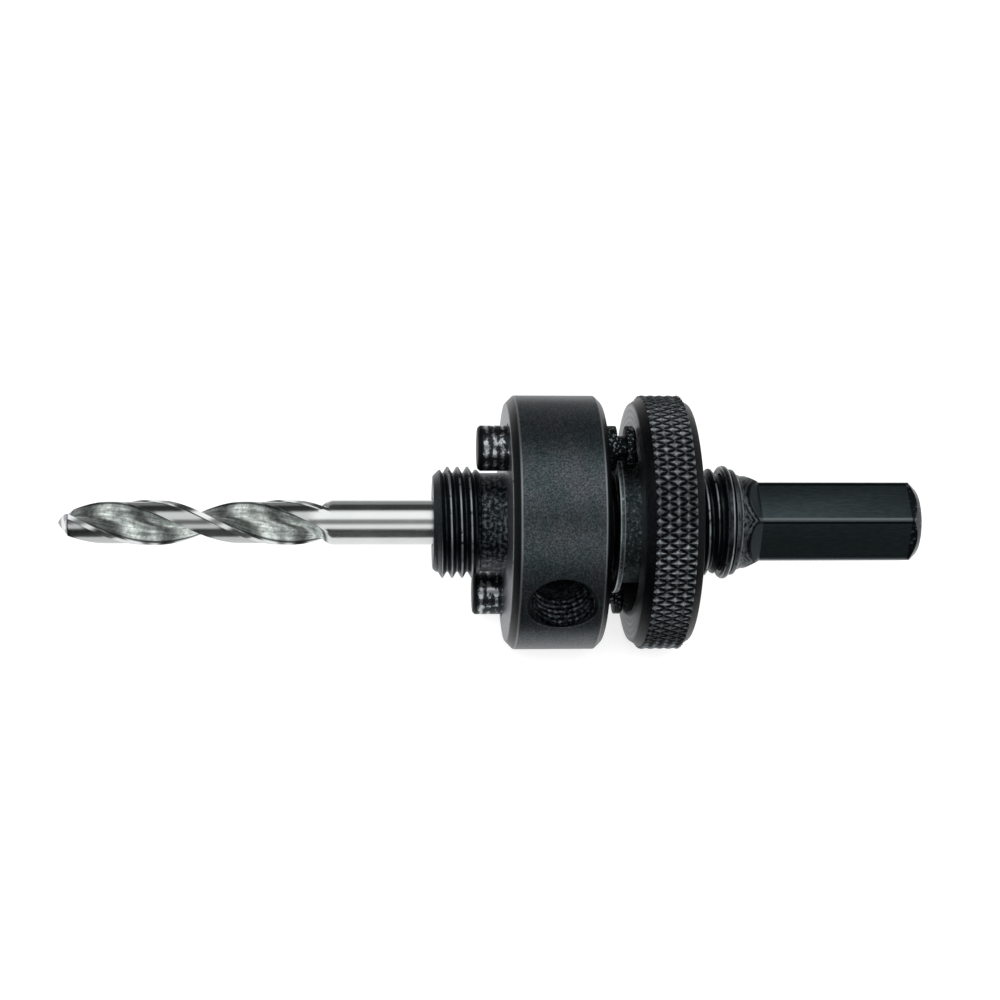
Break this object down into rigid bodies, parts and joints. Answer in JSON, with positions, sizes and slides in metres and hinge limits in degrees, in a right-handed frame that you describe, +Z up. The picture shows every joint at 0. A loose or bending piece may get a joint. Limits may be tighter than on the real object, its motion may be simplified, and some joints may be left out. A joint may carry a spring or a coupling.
{
  "type": "hole saw arbor",
  "caption": "Hole saw arbor with a threaded nose, pilot drill, drive pins slid by a knurled locking nut, and a hexagonal shank for a drill chuck.",
  "frame": {"origin": "centre of the hexagonal shank's end face", "axes": "+X along the arbor from the drill point to the shank end, -Y out of the set screw's well, +Z up"},
  "size_m": [0.1222, 0.0364, 0.0364],
  "materials": {
    "black_oxide_steel": "black oxide, sandy and satin",
    "ground_steel": "bright ground",
    "pin_steel": "dark, worn bright on its edges",
    "nut_steel": "black oxide, knurled",
    "ring_steel": "dark spring steel",
    "screw_steel": "black oxide"
  },
  "bodies": {
    "arbor": {"arbor_body": "black_oxide_steel", "pilot_drill": "ground_steel", "retaining_ring": "ring_steel"},
    "drive_pins": {"drive_pin_upper": "pin_steel", "drive_pin_lower": "pin_steel"},
    "locking_nut": {"knurled_nut": "nut_steel"},
    "clamp_screw": {"set_screw": "screw_steel"}
  },
  "joints": [
    {"name": "pin_slide", "type": "slide", "parent": "arbor", "child": "drive_pins", "axis": [1, 0, 0], "range_m": [-0.0017, 0.00455]},
    {"name": "nut_turn", "type": "hinge", "parent": "drive_pins", "child": "locking_nut", "pos_m": [-0.0374, 0, 0], "axis": [1, 0, 0], "range_deg": [-430, 1160]},
    {"name": "screw_out", "type": "slide", "parent": "arbor", "child": "clamp_screw", "axis": [0, -1, 0], "range_m": [0, 0.005]}
  ],
  "couplings": [
    {"joint": "pin_slide", "follows": "nut_turn", "m_per_rad": 0.00022459}
  ]
}
